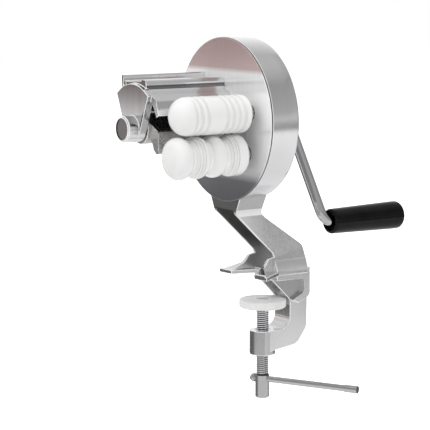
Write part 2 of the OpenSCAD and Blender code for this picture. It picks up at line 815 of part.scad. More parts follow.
// A quarter bend that starts above its centre and ends behind it
module elbow() rotate([90, 0, 90]) rotate_extrude(angle = 90) translate([bend_r, 0]) circle(rod_r);
module crank_rod() {
  color("gainsboro") at_main() rotate([0, -crank_angle, 0]) {
    rod_y(rod_r, hub_start + crank_seat + axial_slack, crank_back - bend_r);
    translate([0, crank_back - bend_r, -bend_r]) elbow();
    translate([0, crank_back, -crank_r + bend_r]) cylinder(r = rod_r, h = crank_r - bend_r * 2);
    translate([0, crank_back + bend_r, -crank_r + bend_r]) rotate([180, 0, 0]) elbow();
    translate([0, 0, -crank_r]) rod_y(rod_r, crank_back + bend_r, spindle_end);
  }
}
module at_handle() at_main() rotate([0, -crank_angle, 0]) translate([0, 0, -crank_r]) children();
nut_y = handle_start + handle_len - cap_len - cap_plug_len - axial_slack - grip_nut_t;
module handle_nut() {
  color("gray") at_handle() difference() {
    rod_y(grip_nut_r, nut_y, nut_y + grip_nut_t);
    rod_y(rod_r, nut_y - over, nut_y + grip_nut_t + over);
  }
}
cap_y = handle_start + handle_len - cap_len;
cap_share = 0.4;
module handle_grip() {
  color("black") at_handle() difference() {
    turned() polygon([
      [0, handle_start], [handle_r1 - grip_chamfer, handle_start],
      [handle_r1, handle_start + grip_chamfer], [handle_r2, cap_y], [0, cap_y]
    ]);
    rod_y(rod_r + grip_fit, handle_start - over, cap_y + over);
    rod_y(grip_bore_r, nut_y - axial_slack, cap_y + over);
    rod_y(mouth_r, handle_start - over, handle_start + mouth_len);
  }
}
module handle_cap() {
  color("black") at_handle() {
    turned() rounded([[0, cap_y], [handle_r2, cap_y], [handle_r2, cap_y + cap_len], [0, cap_y + cap_len]],
      [0, 0, cap_len * cap_share, 0]);
    rod_y(grip_bore_r, cap_y - cap_plug_len, cap_y);
  }
}

// Intermediate wheel pressed on its pinion
hub_spigot_r = gear_module * (pinion_teeth / 2 - spigot_share);
module intermediate_pinion() {
  color("slategray") at_idle() difference() {
    union() {
      plate_y(front_layer, front_layer + gear_w) gear_outline(pinion_teeth, idle_phase);
      rod_y(hub_spigot_r, front_layer + gear_w, wheel_back);
    }
    rod_y(idle_pin_r + run_fit, front_layer - over, wheel_back + over);
  }
}
wheel_hole_count = 5;
wheel_hole_share = 0.63;
wheel_hole_r = 2.2;
module intermediate_wheel() {
  color("ivory") at_idle() difference() {
    plate_y(back_layer, wheel_back) gear_outline(wheel_teeth, wheel_phase);
    rod_y(hub_spigot_r, back_layer - over, wheel_back + over);
    for (i = [0 : wheel_hole_count - 1])
      rotate([0, i * 360 / wheel_hole_count, 0])
        translate([gear_module * wheel_teeth / 2 * wheel_hole_share, 0, 0])
          rod_y(wheel_hole_r, back_layer - over, wheel_back + over);
  }
}

// Rollers: the upper one has shallow rings, the lower one beads
upper_front = -roller_gap - upper_len;
upper_end = -roller_gap;
lower_front = -roller_gap - lower_len;
lower_end = -roller_gap;
ring_group_shares = [0.243, 0.770];
ring_shares = [-1.5, -0.5, 0.5, 1.5];
ring_r = (ring_pitch * ring_pitch / 4 + ring_depth * ring_depth) / (2 * ring_depth);
module upper_roller() {
  color("white") at_upper() difference() {
    turned() difference() {
      rounded([
        [0, upper_front], [upper_r, upper_front], [upper_r, upper_end], [0, upper_end]
      ], [0, upper_dome_r, roller_back_r, 0]);
      for (group = ring_group_shares, ring = ring_shares)
        translate([upper_r + ring_r - ring_depth, upper_front + upper_len * group + ring_pitch * ring])
          circle(ring_r);
    }
    rod_y(roller_shaft_r, upper_end - shaft_seat, upper_end + over);
  }
}
bead_count = 4;
bead_flat = 0.5;
bead_w = bead_round_r * 2 + bead_flat;
bead_core_r = lower_r - bead_height;
module bead(y1, y2, round_r) {
  rounded([[0, y1], [lower_r, y1], [lower_r, y2], [0, y2]], [0, bead_round_r, round_r, 0]);
}
module lower_roller() {
  color("white") at_lower() difference() {
    turned() {
      translate([0, lower_front + bead_w / 2]) square([bead_core_r, lower_len - bead_w]);
      for (i = [0 : bead_count - 2])
        bead(lower_front + bead_pitch * i, lower_front + bead_pitch * i + bead_w, bead_round_r);
      bead(lower_front + bead_pitch * (bead_count - 1), lower_end, roller_back_r);
    }
    rod_y(roller_shaft_r, lower_end - shaft_seat, lower_end + over);
  }
}
shaft_end = inner_boss + roller_bush_depth - axial_slack;
module upper_shaft() {
  color("slategray") at_upper() rod_y(roller_shaft_r, upper_end - shaft_seat, shaft_end);
}
module lower_shaft() {
  color("slategray") at_lower() rod_y(roller_shaft_r, lower_end - shaft_seat, shaft_end);
}
module roller_gear(phase) {
  difference() {
    plate_y(front_layer, front_layer + gear_w) gear_outline(roller_teeth, phase);
    rod_y(roller_shaft_r, front_layer - over, front_layer + gear_w + over);
  }
}
module upper_gear() color("ivory") at_upper() roller_gear(upper_phase);
module lower_gear() color("ivory") at_lower() roller_gear(lower_phase);
module clip() {
  difference() {
    rod_y(clip_r, front_layer + gear_w, front_layer + gear_w + clip_t);
    rod_y(roller_shaft_r, front_layer, back_layer);
  }
}
module upper_clip() color("gray") at_upper() clip();
module lower_clip() color("gray") at_lower() clip();

// Clamp: swivel pad, its screw, the clamp screw and the tommy bar
pad_bottom = -clamp_open - pad_t;
module clamp_pad() {
  color("ivory") difference() {
    rotate_extrude() polygon([
      [0, pad_bottom], [pad_r - pad_chamfer, pad_bottom], [pad_r, pad_bottom + pad_chamfer],
      [pad_r, -clamp_open - pad_chamfer], [pad_r - pad_chamfer, -clamp_open], [0, -clamp_open]
    ]);
    translate([0, 0, pad_bottom - over]) cylinder(r = pad_pin_r + pad_bore_fit, h = pad_t + over * 2);
    translate([0, 0, -clamp_open - pad_screw_head_t - pad_recess])
      cylinder(r = pad_screw_head_r + axial_slack, h = pad_t);
  }
}
module clamp_screw() {
  color("silver") difference() {
    union() {
      translate([0, 0, pad_bottom - pad_gap])
        cylinder(r = pad_pin_r, h = pad_t - pad_screw_head_t - pad_recess + pad_gap);
      translate([0, 0, -head_top]) cylinder(r = screw_r, h = head_top + pad_bottom - pad_gap);
      translate([0, 0, -screw_bottom]) rotate_extrude() polygon([
        [0, 0], [head_r - head_chamfer, 0], [head_r, head_chamfer], [head_r, head_len - head_chamfer],
        [head_r - head_chamfer, head_len], [0, head_len]
      ]);
    }
    translate([0, 0, pad_bottom + pad_t - pad_screw_head_t - pad_recess - pad_pin_len])
      cylinder(r = pad_screw_r, h = pad_t);
    at_bar() rotate([0, 90, 0]) translate([0, 0, -head_r - over])
      cylinder(r = bar_r + bar_fit, h = (head_r + over) * 2);
  }
}
module pad_screw() {
  color("gray") translate([0, 0, -clamp_open - pad_recess - pad_screw_head_t]) {
    cylinder(r = pad_screw_head_r, h = pad_screw_head_t);
    translate([0, 0, -pad_pin_len]) cylinder(r = pad_screw_r, h = pad_pin_len);
  }
}
module at_bar() translate([0, 0, -head_top - bar_drop]) rotate([0, 0, bar_angle]) children();
bar_start = -head_r - ball_out;
module tommy_bar() {
  color("gainsboro") at_bar() rotate([0, 90, 0])
    translate([0, 0, bar_start]) cylinder(r = bar_r, h = bar_len - bar_end_len);
}
module tommy_knobs() {
  color("gainsboro") at_bar() rotate([0, 90, 0]) {
    difference() {
      translate([0, 0, bar_start]) sphere(ball_r);
      translate([0, 0, bar_start]) cylinder(r = bar_r, h = ball_r + over);
      translate([0, 0, -head_r - axial_slack]) cylinder(r = ball_r + over, h = ball_r + over);
    }
    translate([0, 0, bar_start + bar_len - bar_end_len]) cylinder(r = bar_end_r, h = bar_end_len);
  }
}

body_casting();
face_plate();
plate_screws();
cutter_hood();
hood_screws();
arm_bush();
arm_cap();
front_bush();
rear_bush();
roller_front_bushes();
roller_rear_bushes();
intermediate_pin();
main_shaft();
cutter_rotor();
rotor_pin();
main_pinion();
shaft_collar();
crank_hub();
crank_screws();
crank_rod();
handle_nut();
handle_grip();
handle_cap();
intermediate_pinion();
intermediate_wheel();
upper_roller();
upper_shaft();
upper_gear();
upper_clip();
lower_roller();
lower_shaft();
lower_gear();
lower_clip();
clamp_pad();
clamp_screw();
pad_screw();
tommy_bar();
tommy_knobs();
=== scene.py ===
"""Hand-cranked cavatelli maker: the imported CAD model, dressed for the photograph.

Lengths are in metres. Values written in millimetres are turned into metres by mm().
"""
import json
import math

import bmesh
import bpy
from mathutils import Matrix, Vector
from mathutils.bvhtree import BVHTree

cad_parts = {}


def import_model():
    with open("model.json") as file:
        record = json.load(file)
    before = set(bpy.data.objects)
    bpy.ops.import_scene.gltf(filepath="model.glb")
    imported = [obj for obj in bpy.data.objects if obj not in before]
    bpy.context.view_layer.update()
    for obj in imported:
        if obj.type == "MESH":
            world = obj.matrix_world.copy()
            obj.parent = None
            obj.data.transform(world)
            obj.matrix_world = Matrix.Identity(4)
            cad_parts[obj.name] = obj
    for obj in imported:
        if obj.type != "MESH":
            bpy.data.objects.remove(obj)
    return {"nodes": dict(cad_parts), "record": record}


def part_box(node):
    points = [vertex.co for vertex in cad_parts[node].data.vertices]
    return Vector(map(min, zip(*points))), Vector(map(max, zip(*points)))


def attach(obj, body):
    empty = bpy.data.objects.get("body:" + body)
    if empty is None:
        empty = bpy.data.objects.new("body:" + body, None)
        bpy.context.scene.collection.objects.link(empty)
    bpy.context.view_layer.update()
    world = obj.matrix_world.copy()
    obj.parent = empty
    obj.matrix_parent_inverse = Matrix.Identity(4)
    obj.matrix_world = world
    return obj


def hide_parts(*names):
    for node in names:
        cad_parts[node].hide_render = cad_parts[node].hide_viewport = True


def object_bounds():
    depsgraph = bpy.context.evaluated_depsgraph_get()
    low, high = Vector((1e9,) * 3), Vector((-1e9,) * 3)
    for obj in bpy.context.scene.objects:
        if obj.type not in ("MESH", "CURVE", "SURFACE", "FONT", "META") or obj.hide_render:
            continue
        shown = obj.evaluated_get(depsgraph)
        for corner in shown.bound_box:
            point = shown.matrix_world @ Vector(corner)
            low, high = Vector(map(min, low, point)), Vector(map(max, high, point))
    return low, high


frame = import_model()
cad_low, cad_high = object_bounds()
record = frame["record"]
nodes = frame["nodes"]
scene = bpy.context.scene

WELD = 2e-6                           # points closer than this are one
FLAT_ANGLE = math.radians(0.15)       # faces closer to one plane than this are joined
SHARP_ANGLE = math.radians(32)        # edges sharper than this are rounded
SMOOTH_DEGREES = 28                   # edges flatter than this are shaded smooth
SHORT_EDGE = 0.0008                   # a bright edge isn't drawn along shorter ones
SETTLE_SHARE = 0.75                   # of an edge's rounding, past which a point is put back


def mm(v):
    return v / 1000


# ---------------------------------------------------------------- materials

def new_material(name):
    m = bpy.data.materials.new(name)
    m.use_nodes = True
    m.node_tree.nodes.clear()
    out = m.node_tree.nodes.new("ShaderNodeOutputMaterial")
    bsdf = m.node_tree.nodes.new("ShaderNodeBsdfPrincipled")
    m.node_tree.links.new(bsdf.outputs[0], out.inputs[0])
    return m, m.node_tree, bsdf


def noise(tree, stretch, scale, detail=3.0, rough=0.5):
    """Noise in the object's own coordinates, stretched along each axis."""
    coord = tree.nodes.new("ShaderNodeTexCoord")
    place = tree.nodes.new("ShaderNodeMapping")
    place.inputs["Scale"].default_value = stretch
    tex = tree.nodes.new("ShaderNodeTexNoise")
    tex.inputs["Scale"].default_value = scale
    tex.inputs["Detail"].default_value = detail
    tex.inputs["Roughness"].default_value = rough
    tree.links.new(coord.outputs["Object"], place.inputs[0])
    tree.links.new(place.outputs[0], tex.inputs["Vector"])
    return tex.outputs[0]


def ramp(tree, source, stops):
    """A ramp of (place, value or colour) stops."""
    r = tree.nodes.new("ShaderNodeValToRGB")
    els = r.color_ramp.elements
    while len(els) < len(stops):
        els.new(0.5)
    for el, (at, value) in zip(els, stops):
        el.position = at
        el.color = (*value, 1) if isinstance(value, tuple) else (value, value, value, 1)
    tree.links.new(source, r.inputs[0])
    return r.outputs[0]


def bump(tree, bsdf, height, strength, distance, under=None):
    b = tree.nodes.new("ShaderNodeBump")
    b.inputs["Strength"].default_value = strength
    b.inputs["Distance"].default_value = distance
    tree.links.new(height, b.inputs["Height"])
    if under is not None:
        tree.links.new(under, b.inputs["Normal"])
    tree.links.new(b.outputs[0], bsdf.inputs["Normal"])
    return b.outputs[0]


def soft_edges(tree, bsdf, radius):
    """Rounds the shading of hard edges, as casting and tumbling do."""
    b = tree.nodes.new("ShaderNodeBevel")
    b.samples = 4
    b.inputs["Radius"].default_value = radius
    tree.links.new(b.outputs[0], bsdf.inputs["Normal"])
    return b.outputs[0]


def uneven_roughness(tree, bsdf, marks, rough, spread):
    stops = [(0.3, max(0.0, rough - spread)), (0.7, rough + spread)]
    tree.links.new(ramp(tree, marks, stops), bsdf.inputs["Roughness"])


def metal(name, colour, rough, spread=0.03, grain=0.0, grain_scale=900, edge=0.0, patches=0.03,
          metallic=1.0):
    """A metal with a slightly uneven finish; grain is a bump of fine marks, edge softens hard edges."""
    m, tree, bsdf = new_material(name)
    bsdf.inputs["Metallic"].default_value = metallic
    low = tuple(max(0.0, c - patches) for c in colour)
    high = tuple(min(1.0, c + patches) for c in colour)
    marks = noise(tree, (1, 1, 1), grain_scale, 3)
    cloud = noise(tree, (1, 1, 1), 28, 4)
    tree.links.new(ramp(tree, cloud, [(0.35, low), (0.65, high)]), bsdf.inputs["Base Color"])
    uneven_roughness(tree, bsdf, marks, rough, spread)
    normal = soft_edges(tree, bsdf, edge) if edge else None
    if grain:
        bump(tree, bsdf, marks, grain, mm(0.4), normal)
    return m


def painted_reflection_by_height(name, rough, spread, stops, metallic=1.0, brushed=0.0, streaks=0.0):
    """A metal with painted reflection and painted shade graded by height; stops are (height in metres,
    colour). brushed spreads the reflections across the X axis, and streaks are fine darker lines."""
    m, tree, bsdf = new_material(name)
    bsdf.inputs["Metallic"].default_value = metallic
    coord = tree.nodes.new("ShaderNodeTexCoord")
    split = tree.nodes.new("ShaderNodeSeparateXYZ")
    tree.links.new(coord.outputs["Object"], split.inputs[0])
    place = tree.nodes.new("ShaderNodeMapRange")
    place.inputs["From Min"].default_value = stops[0][0]
    place.inputs["From Max"].default_value = stops[-1][0]
    tree.links.new(split.outputs["Z"], place.inputs["Value"])
    span = stops[-1][0] - stops[0][0]
    colour = ramp(tree, place.outputs[0], [((z - stops[0][0]) / span, c) for z, c in stops])
    marks = noise(tree, (1.9, 1, 0.06), 420, 3)
    shade = ramp(tree, marks, [(0.3, 1 - streaks), (0.7, 1.0)])
    times = tree.nodes.new("ShaderNodeVectorMath")
    times.operation = "MULTIPLY"
    tree.links.new(colour, times.inputs[0])
    tree.links.new(shade, times.inputs[1])
    tree.links.new(times.outputs[0], bsdf.inputs["Base Color"])
    uneven_roughness(tree, bsdf, marks, rough, spread)
    if brushed:
        bsdf.inputs["Anisotropic"].default_value = brushed
        line = tree.nodes.new("ShaderNodeCombineXYZ")
        line.inputs[0].default_value = 1.0
        tree.links.new(line.outputs[0], bsdf.inputs["Tangent"])
    return m


def plastic(name, colour, rough, coat=0.0, shine=0.5, sss=0.0, grain=0.0, speckle=0.0, edge=0.0):
    """A moulded plastic; sss lets light in, grain is a bump of fine marks, speckle darkens in patches."""
    m, tree, bsdf = new_material(name)
    cloud = noise(tree, (1, 1, 1), 60, 5, 0.6)
    low = tuple(max(0.0, c - 0.015 - speckle) for c in colour)
    tree.links.new(ramp(tree, cloud, [(0.35, low), (0.65, tuple(colour))]), bsdf.inputs["Base Color"])
    fine = noise(tree, (1, 1, 1), 1600, 2)
    uneven_roughness(tree, bsdf, fine, rough, 0.04)
    bsdf.inputs["Coat Weight"].default_value = coat
    bsdf.inputs["Specular IOR Level"].default_value = shine
    bsdf.inputs["Coat Roughness"].default_value = 0.08
    bsdf.inputs["Subsurface Weight"].default_value = sss
    bsdf.inputs["Subsurface Radius"].default_value = (mm(3), mm(3), mm(2.5))
    normal = soft_edges(tree, bsdf, edge) if edge else None
    if grain:
        bump(tree, bsdf, fine, grain, mm(0.3), normal)
    return m


MATERIALS = {
    "cast_aluminium": metal("cast_aluminium", (0.80, 0.80, 0.81), 0.17, 0.03, 0.015, 500, mm(0.3)),
    # painted_highlight_edge: a whiter, part-metal finish on the rounded edges, a painted highlight
    "painted_highlight_edge": metal("painted_highlight_edge", (0.97, 0.97, 0.97), 0.20, 0.03, 0.0, 500, metallic=0.35),
    "as_cast": metal("as_cast", (0.68, 0.68, 0.69), 0.36, 0.05, 0.05, 420),
    # brushed_face: bands of painted reflection by height, dark at the foot, white in the middle and reddish
    # at the top; its streaks are brushing marks
    "brushed_face": painted_reflection_by_height("brushed_face", 0.20, 0.02, [
        (0.057, (0.19, 0.19, 0.205)), (0.074, (0.24, 0.24, 0.255)), (0.080, (0.74, 0.74, 0.74)),
        (0.100, (0.92, 0.92, 0.92)), (0.130, (1.0, 1.0, 1.0)), (0.151, (1.0, 1.0, 1.0)),
        (0.1545, (0.59, 0.47, 0.46)), (0.176, (0.47, 0.37, 0.36))], 0.36, 1.0, 0.08),
    "steel": metal("steel", (0.60, 0.60, 0.61), 0.26, 0.03, 0.02, 1200, mm(0.2)),
    "chrome": metal("chrome", (0.56, 0.56, 0.57), 0.08, 0.02, 0.0, 900, mm(0.2), 0.01),
    "bronze": metal("bronze", (0.62, 0.45, 0.27), 0.32, 0.04, 0.03, 1000, mm(0.2)),
    # groove_painted_shade: the white plastic made darker, painted shade in the rollers' grooves
    "groove_painted_shade": plastic("groove_painted_shade", (0.78, 0.78, 0.77), 0.30, 0.3, sss=0.02),
    "white_plastic": plastic("white_plastic", (0.88, 0.88, 0.875), 0.24, 0.5, sss=0.02),
    "gear_plastic": plastic("gear_plastic", (0.85, 0.83, 0.76), 0.42, edge=mm(0.1)),
    "black_plastic": plastic("black_plastic", (0.005, 0.005, 0.006), 0.10, shine=0.20),
    "pad_plastic": plastic("pad_plastic", (0.90, 0.90, 0.89), 0.55, grain=0.30, speckle=0.10),
    "thread": metal("thread", (0.92, 0.92, 0.93), 0.24, 0.04, 0.02, 900),
    "satin": metal("satin", (0.50, 0.50, 0.50), 0.25, 0.03, 0.02, 500),
    "blade_metal": metal("blade_metal", (0.56, 0.55, 0.54), 0.28, 0.04, 0.03, 500, mm(0.3)),
    # painted_shade_inside: near black, painted shade under the hood
    "painted_shade_inside": metal("painted_shade_inside", (0.10, 0.10, 0.10), 0.5, 0.05, 0.05, 700),
    # painted_dark_reflection: a dark metal for the neck's front, a painted dark reflection
    "painted_dark_reflection": metal("painted_dark_reflection", (0.30, 0.30, 0.30), 0.30, 0.03, 0.0, 700),
    "dark_cap": metal("dark_cap", (0.42, 0.41, 0.41), 0.34, 0.03, 0.02, 800),
    # painted_shade_recess: painted shade in the face's seam and in the screw thread's roots
    "painted_shade_recess": metal("painted_shade_recess", (0.16, 0.16, 0.16), 0.45, 0.05, 0.05, 700),
    # arm_face_painted_reflection: painted reflection, light below and reddish dark towards the top
    "arm_face_painted_reflection": painted_reflection_by_height("arm_face_painted_reflection", 0.14, 0.02, [
        (0.120, (0.74, 0.74, 0.74)), (0.134, (0.38, 0.37, 0.37)), (0.146, (0.19, 0.16, 0.155))]),
    # leg_channel_painted_shade: painted shade and painted reflection, light at the foot and darker up the
    # channel
    "leg_channel_painted_shade": painted_reflection_by_height("leg_channel_painted_shade", 0.34, 0.02, [
        (0.0, (0.84, 0.84, 0.84)), (0.016, (0.66, 0.66, 0.66)), (0.030, (0.46, 0.46, 0.46)),
        (0.060, (0.40, 0.40, 0.40))]),
    # step_side_painted_shade_and_highlight: a painted dark band and a painted highlight line along the top
    # rail's upright side
    "step_side_painted_shade_and_highlight": painted_reflection_by_height("step_side_painted_shade_and_highlight", 0.17, 0.02, [
        (0.1412, (0.26, 0.26, 0.27)), (0.1438, (0.13, 0.13, 0.14)), (0.1443, (0.88, 0.88, 0.89)),
        (0.1467, (0.76, 0.76, 0.77))]),
}
SLOT_OF = {row["node"]: row["material_slot"] for row in record["subparts"]}
BODY_OF = {n: b for b, group in record["behaviour"]["bodies"].items() for n in group}


# ---------------------------------------------------------------- meshes

def add_object(name, verts, faces, hard=30):
    mesh = bpy.data.meshes.new(name)
    mesh.from_pydata([tuple(v) for v in verts], [], faces)
    obj = bpy.data.objects.new(name, mesh)
    scene.collection.objects.link(obj)
    bm = bmesh.new()
    bm.from_mesh(mesh)
    bmesh.ops.recalc_face_normals(bm, faces=bm.faces)
    bm.to_mesh(mesh)
    bm.free()
    smooth(mesh, hard)
    return obj


def smooth(mesh, hard):
    mesh.polygons.foreach_set("use_smooth", [True] * len(mesh.polygons))
    mesh.set_sharp_from_angle(angle=math.radians(hard))


def placed(obj, node, material=None):
    """obj rides on its node's body, has its slot's material and stands for the node."""
    slot = SLOT_OF[node]
    obj.data.materials.clear()
    obj.data.materials.append(MATERIALS[material or slot])
    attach(obj, BODY_OF[node])
    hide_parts(node)
    return obj


def shaded(obj, test):
    """The faces that test picks by their centre get a darker plastic, painted shade in a groove."""
    obj.data.materials.append(MATERIALS["groove_painted_shade"])
    for f in obj.data.polygons:
        if test(f.center):
            f.material_index = 1
    return obj


def middle_of(node):
    low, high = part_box(node)
    return (low + high) / 2


SHAFT = middle_of("main_shaft")
SCREW = middle_of("clamp_screw")


def welded(node):
    """A copy of a node's shape with its points joined."""
    source = nodes[node].data
    bm = bmesh.new()
    rows = [bm.verts.new(v.co) for v in source.vertices]
    for p in source.polygons:
        try:
            bm.faces.new([rows[i] for i in p.vertices])
        except ValueError:
            pass
    bmesh.ops.remove_doubles(bm, verts=bm.verts, dist=WELD)
    return bm


def dress(node, name, edge, material=None, bright=False, pick=None, convex=True):
    """A node's shape with its flat faces joined and its edges rounded by edge millimetres. bright gives
    the rounded edges a painted highlight, a whiter part-metal finish, on the convex ones only or all, and
    pick names another material for a face by its centre and normal."""
    bm = welded(node)
    bmesh.ops.dissolve_limit(bm, angle_limit=FLAT_ANGLE, verts=bm.verts, edges=bm.edges)
    bmesh.ops.recalc_face_normals(bm, faces=bm.faces)
    if bright:
        weight = bm.edges.layers.float.new("bevel_weight_edge")
        for e in bm.edges:
            if e.is_manifold and (e.is_convex or not convex) and e.calc_length() > SHORT_EDGE:
                e[weight] = float(e.calc_face_angle() > SHARP_ANGLE)
    mesh = bpy.data.meshes.new(name)
    bm.to_mesh(mesh)
    bm.free()
    obj = bpy.data.objects.new(name, mesh)
    scene.collection.objects.link(obj)
    smooth(mesh, SMOOTH_DEGREES)
    if edge:
        b = obj.modifiers.new("edge", "BEVEL")
        b.width = mm(edge)
        b.segments = 3
        b.limit_method = "WEIGHT" if bright else "ANGLE"
        b.angle_limit = SHARP_ANGLE
        b.harden_normals = True
        b.use_clamp_overlap = not bright
    placed(obj, node, material)
    if bright:
        mesh.materials.append(MATERIALS["painted_highlight_edge"])
        obj.modifiers["edge"].material = 1
    if pick:
        slots = {}
        for f in mesh.polygons:
            other = pick(f.center, f.normal)
            if other:
                if other not in slots:
                    slots[other] = len(mesh.materials)
                    mesh.materials.append(MATERIALS[other])
                f.material_index = slots[other]
    if bright:
        settle(obj, nodes[node].data, mm(edge) * SETTLE_SHARE)
    return obj


def settle(obj, source, reach):
    """Applies the edge rounding and puts points that it threw off the node's surface back onto it."""
    shape = bpy.data.meshes.new_from_object(obj.evaluated_get(bpy.context.evaluated_depsgraph_get()))
    obj.modifiers.clear()
    obj.data = shape
    surface = BVHTree.FromPolygons([v.co for v in source.vertices], [f.vertices for f in source.polygons])
    for v in shape.vertices:
        near, _, _, far = surface.find_nearest(v.co)
        if far > reach:
            v.co = near


def casting_finish(c, n):
    """The leg's channel, the pockets beside the spine, the neck and the nut boss get darker, rougher metals
    than the
    rest, which is polished: painted shade and painted reflection."""
    channel_half, channel_low, channel_high = mm(11.3), mm(2), mm(62)
    pocket_half, pocket_low, pocket_high = mm(10.2), mm(-21), mm(-3)
    neck_low, neck_front, neck_high, neck_y = mm(53), mm(58), mm(70), mm(-8)
    nut_reach, nut_high = mm(11.8), mm(-40)
    sideways = abs(n.x)
    # The channel gets painted shade and painted reflection, darker up from the foot.
    if abs(c.x) < channel_half and channel_low < c.z < channel_high and (n.y < -0.2 or sideways > 0.9):
        return "leg_channel_painted_shade"
    # The pockets' side walls get the darker satin metal as painted shade.
    if sideways > 0.9 and abs(c.x) < pocket_half and pocket_low < c.z < pocket_high:
        return "satin"
    # The neck's front gets a painted dark reflection.
    if n.y < -0.9 and c.z > neck_front:
        return "painted_dark_reflection"
    # The nut boss gets painted light and shade: the lighter as_cast metal on its side facing +X, the darker
    # satin metal elsewhere.
    if (c.xy - SCREW.xy).length < nut_reach and c.z < nut_high and abs(n.z) < 0.5:
        return "as_cast" if n.x > 0.93 else "satin"
    # The neck's sides get the darker satin metal as painted shade.
    if sideways > 0.7 and neck_low < c.z < neck_high and c.y < neck_y:
        return "satin"
    return None


def hood_finish(c, n):
    """Painted shade inside, over the cutter; the top rail's upright side and the arm's front get painted
    reflection and shade graded by height.
    """
    inside_reach, step_x, step_above, arm_front = mm(29.5), mm(2.5), mm(20), mm(-101)
    out = Vector((c.x - SHAFT.x, 0, c.z - SHAFT.z))
    # Faces inside the hood, turned towards the shaft, get painted shade.
    if abs(n.y) < 0.5 and out.length < inside_reach and n.dot(out.normalized()) < -0.25:
        return "painted_shade_inside"
    # The top rail's upright side gets a painted dark band and a painted highlight line.
    if n.x > 0.85 and abs(c.x - step_x) < mm(1) and c.z > SHAFT.z + step_above:
        return "step_side_painted_shade_and_highlight"
    # The arm's front gets painted reflection, darker and reddish towards the top.
    if n.y < -0.9 and c.y < arm_front:
        return "arm_face_painted_reflection"
    return None


def face_finish(c, n):
    """The narrow rim in front, round the face, is painted dark as the shade in its seam."""
    rim_front = mm(-30)
    if abs(n.y) < 0.3 and c.y < rim_front:
        return "painted_shade_recess"
    return None


def frame_of(axis):
    """The axis and two directions square to it."""
    d = Vector(axis).normalized()
    side = Vector((1, 0, 0)) if abs(d.x) < 0.9 else Vector((0, 0, 1))
    u = (side - d * side.dot(d)).normalized()
    return d, u, d.cross(u)


def lathe(name, profile, centre, axis=(0, 1, 0), sides=128, hard=30):
    """A turned shape: profile is (distance along the axis, radius) pairs in metres."""
    d, u, v = frame_of(axis)
    centre = Vector(centre)
    verts, rings = [], []
    for s, r in profile:
        if r < 1e-7:
            rings.append([len(verts)] * sides)
            verts.append(centre + d * s)
            continue
        rings.append(list(range(len(verts), len(verts) + sides)))
        for i in range(sides):
            a = math.tau * i / sides
            verts.append(centre + d * s + (u * math.cos(a) + v * math.sin(a)) * r)
    faces = []
    for a, b in zip(rings, rings[1:]):
        for i in range(sides):
            j = (i + 1) % sides
            quad = [a[i], a[j], b[j], b[i]]
            face = [q for k, q in enumerate(quad) if q != quad[k - 1]]
            if len(face) > 2:
                faces.append(face)
    return add_object(name, verts, faces, hard)


def arc(s0, r0, radius, start, end, steps=10):
    """Points of an arc round (s0, r0): angle 0 points along the axis, 90 outwards."""
    angles = [math.radians(start + (end - start) * i / steps) for i in range(steps + 1)]
    return [(s0 + radius * math.cos(a), r0 + radius * math.sin(a)) for a in angles]


# ---------------------------------------------------------------- rollers

def roller_place(node):
    """A roller's lower and upper corner, the middle of its axis at y = 0, and its radius."""
    low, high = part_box(node)
    return low, high, Vector(((low.x + high.x) / 2, 0, (low.z + high.z) / 2)), (high.x - low.x) / 2


def upper_roller():
    """A dome in front and two groups of shallow rings."""
    low, high, centre, r = roller_place("upper_roller")
    length = high.y - low.y
    dome, back, pitch, depth = mm(11), mm(2.5), mm(5), mm(0.6)
    group_shares = (0.243, 0.770)
    profile = [(0, 0)] + arc(dome, r - dome, dome, 180, 90, 20)
    steps = 240
    for i in range(1, steps):
        s = dome + (length - dome - back) * i / steps
        cut = 0
        for share in group_shares:
            t = (s - length * share) / pitch
            if -2 <= t <= 2:
                cut = depth * (0.5 + 0.5 * math.cos(math.tau * (t + 0.5))) ** 1.6
        profile.append((s, r - cut))
    profile += arc(length - back, r - back, back, 90, 0, 8) + [(length, 0)]
    obj = lathe("upper_ribbed_roller", profile, centre + Vector((0, low.y, 0)), sides=160)
    placed(obj, "upper_roller")
    # The upper roller's rings get painted shade.
    return shaded(obj, lambda c: low.y + dome < c.y < high.y - back
                  and math.hypot(c.x - centre.x, c.z - centre.z) < r - depth * 0.35)


def lower_roller():
    """Four beads on a core, of which the second and the fourth have three grooves each."""
    low, high, centre, r = roller_place("lower_roller")
    length = high.y - low.y
    grooved, grooves, groove_half, groove_depth = (1, 3), (mm(-4.2), mm(-2.2), mm(-0.2)), mm(0.7), mm(0.6)
    round_r, half_flat, pitch, core, back = mm(6.8), mm(0.25), mm(14.1), r - mm(3.1), mm(4)
    middles = [round_r + half_flat + pitch * i for i in range(4)]
    profile = [(0, 0)]
    steps = 640
    for i in range(1, steps):
        s = length * i / steps
        q = core if middles[0] < s < length - back else 0
        for k, middle in enumerate(middles):
            off = s - middle
            if k == 3 and off > 0:
                tail = s - (length - back)
                here = r if tail <= 0 else r - back + math.sqrt(max(0, back * back - tail * tail))
                q = max(q, here)
                continue
            gap = abs(off) - half_flat
            if gap < round_r:
                here = r - round_r + math.sqrt(round_r ** 2 - max(0, gap) ** 2)
                if k in grooved:
                    for groove in grooves:
                        d = (off - groove) / groove_half
                        if abs(d) < 1:
                            here -= groove_depth * (0.5 + 0.5 * math.cos(math.pi * d))
                q = max(q, here)
        profile.append((s, q))
    profile = [(s, q) for s, q in profile if q or not s]
    profile.insert(1, (0, r - round_r))
    profile += [(length, r - back), (length, 0)]
    obj = lathe("lower_beaded_roller", profile, centre + Vector((0, low.y, 0)), sides=128, hard=35)
    placed(obj, "lower_roller")
    # The grooves on the second and fourth beads get painted shade.
    return shaded(obj, lambda c: any(abs(c.y - low.y - middles[k] - groove) < mm(0.45)
                                     for k in grooved for groove in grooves))


